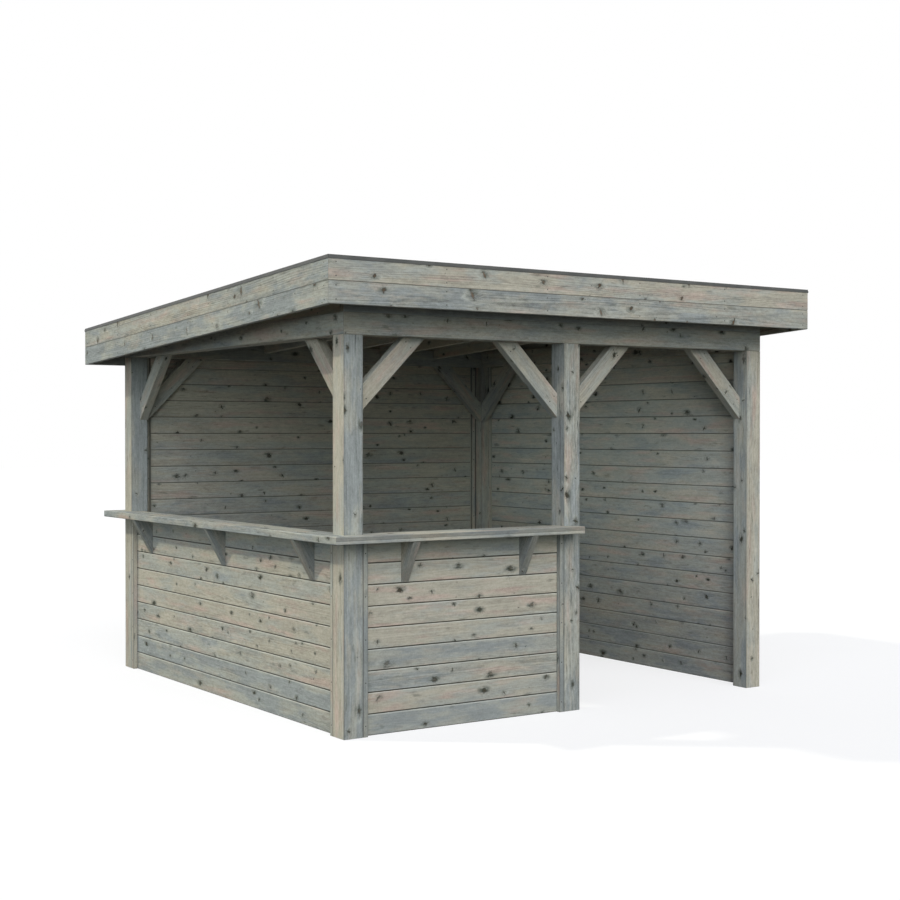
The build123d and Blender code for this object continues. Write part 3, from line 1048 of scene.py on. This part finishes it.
def sheetFinish():
    finish = newFinish("roof_rubber")
    x, y, z = finish.split(finish.node("TexCoord", None, None, output="Object"))
    dust = finish.noise(x * 2.2, y * 2.2, z, detail=4.0, roughness=0.6)
    grain = finish.noise(x * 240, y * 240, z * 240, detail=1.0)
    wave = finish.noise(x * 3.4, y * 3.4, 0.0, detail=2.0)
    trail = finish.noise(x * 6, y * 0.9, 2.0, detail=3.0)
    colour = finish.mix(dust.fade(0.42, 0.75), roof["rubber"], roof["dust"])
    colour = finish.mix(trail.fade(0.52, 0.78) * 0.5, colour, roof["trail"])
    bump = finish.node("Bump", None, {"Strength": 0.5, "Distance": 0.004, "Height": wave + grain * 0.06})
    return finish.surface({
        "Base Color": colour,
        "Roughness": 0.62 + dust * 0.2,
        "Normal": bump,
        "Specular IOR Level": 0.3,
    })


trimMetal = trimFinish()
for nodeName in ("roof_trim_front", "roof_trim_rear", "roof_trim_left", "roof_trim_right"):
    shape = mergedCopy(nodeName)
    roundArrises(shape, roof["trimArris"], segments=1)
    addPiece(nodeName + "_profile", shape, [trimMetal], [nodeName])


def coveringSheet():
    low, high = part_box("roof_covering")
    size = high - low
    slope = roof["slope"]
    shape = mergedCopy("roof_covering")
    half = Vector((roof["lap"] / 2, size.y / 2 / math.cos(slope) - roof["lapEnd"], roof["lapThick"]))
    middle = Vector((low.x, low.y + size.y / 2, high.z - size.y / 2 * math.tan(slope)))
    for index in range(1, roof["strips"]):
        seam = middle + Vector((size.x / roof["strips"] * index, 0, 0))
        lap = addBlock(shape, -half, half)
        place = Matrix.Translation(seam) @ Matrix.Rotation(-slope, 4, "X")
        bmesh.ops.transform(shape, matrix=place, verts=lap)
    addPiece("roof_covering_sheet", shape, [sheetFinish()], ["roof_covering"])


coveringSheet()
print("roof made")

# Studio: a clear lamp from the left, soft ones round the front, a pale floor and a white surround.
# Each lamp: the way its light goes, its strength, how many degrees wide it looks, and its colour.
studio = {
    "lamps": {
        "left": ((1, -0.8, -1.12), 1.62, 2, (1.03, 1.0, 0.84)),
        "softLowLeft": ((0.998, 0, -0.070), 0.60, 22, (0.86, 1.0, 1.10)),
        "softLowFront": ((0.499, 0.864, -0.070), 0.77, 22, (0.88, 1.0, 1.06)),
        "softUpperLeft": ((0.557, 0.557, -0.616), 1.14, 50, (0.97, 1.0, 1.20)),
        "softUpperFront": ((0.137, 0.776, -0.616), 1.74, 50, (0.98, 1.0, 1.02)),
        "softRear": ((-0.5, -0.5, -0.707), 1.00, 120, (0.96, 1.0, 1.06)),
    },
    "sky": (0.94, 1.0, 1.06),
    "skyStrength": 0.06,
    "floorSize": 60.0,
    "floorShade": 0.24,  # what the floor shows of the lamps' light, so that it keeps the shadow
    "floorGlow": 0.74,
    "floorBounce": 0.07,  # the grey that the pavilion's own surfaces get their light from
    "lens": 60.46,
    "sensor": 36,
    "cameraPlace": (-5.5266, -8.5223, 1.6356),
    "cameraDown": 0.65,
    "cameraTurn": -33.75,
}


def addLamp(name, way, strength, angle, colour):
    light = bpy.data.lights.new(name, "SUN")
    light.energy = strength
    light.angle = math.radians(angle)
    light.color = colour
    addToScene(name, light).rotation_euler = Vector(way).to_track_quat("-Z", "Y").to_euler()


def shownRays(finish):  # camera, mirror and glass rays see the white surround
    camera = finish.node("LightPath", output="Is Camera Ray")
    glossy = finish.other(camera, "Is Glossy Ray")
    glass = finish.other(camera, "Is Transmission Ray")
    return camera.atLeast(glossy).atLeast(glass)


def studioWorld():
    world = bpy.data.worlds.new("studio")
    finish = Finish(world)
    sky = finish.node("Background", None, {"Color": (*studio["sky"], 1), "Strength": studio["skyStrength"]})
    white = finish.node("Background", None, {"Color": (1, 1, 1, 1), "Strength": 1.0})
    both = finish.node("MixShader", None, {0: shownRays(finish), 1: sky, 2: white})
    finish.node("OutputWorld", None, {"Surface": both})
    bpy.context.scene.world = world


def floorFinish():
    finish = newFinish("pale_floor")
    shade, bounce = studio["floorShade"], studio["floorBounce"]
    lit = finish.node("BsdfDiffuse", None, {"Color": (shade, shade, shade, 1)})
    glow = finish.node("Emission", None, {"Color": (1, 1, 1, 1), "Strength": studio["floorGlow"]})
    pale = finish.node("AddShader", None, {0: lit, 1: glow})
    grey = finish.node("BsdfDiffuse", None, {"Color": (bounce, bounce, bounce, 1)})
    both = finish.node("MixShader", None, {0: shownRays(finish), 1: grey, 2: pale})
    finish.node("OutputMaterial", None, {"Surface": both})
    return finish.owner


def studioFloor():
    shape = bmesh.new()
    bmesh.ops.create_grid(shape, x_segments=2, y_segments=2, size=studio["floorSize"])
    floor = addToScene("floor", meshFrom("floor", shape, [floorFinish()]))


def studioCamera():
    camera = bpy.data.cameras.new("camera")
    camera.lens = studio["lens"]
    camera.sensor_width = studio["sensor"]
    cameraObject = addToScene("camera", camera)
    cameraObject.location = studio["cameraPlace"]
    tilt, turn = 90 - studio["cameraDown"], studio["cameraTurn"]
    cameraObject.rotation_euler = (math.radians(tilt), 0, math.radians(turn))
    bpy.context.scene.camera = cameraObject


for name, lamp in studio["lamps"].items():
    addLamp(name, *lamp)
studioWorld()
studioFloor()
studioCamera()
bpy.context.scene.view_settings.view_transform = "Standard"
print("studio made")
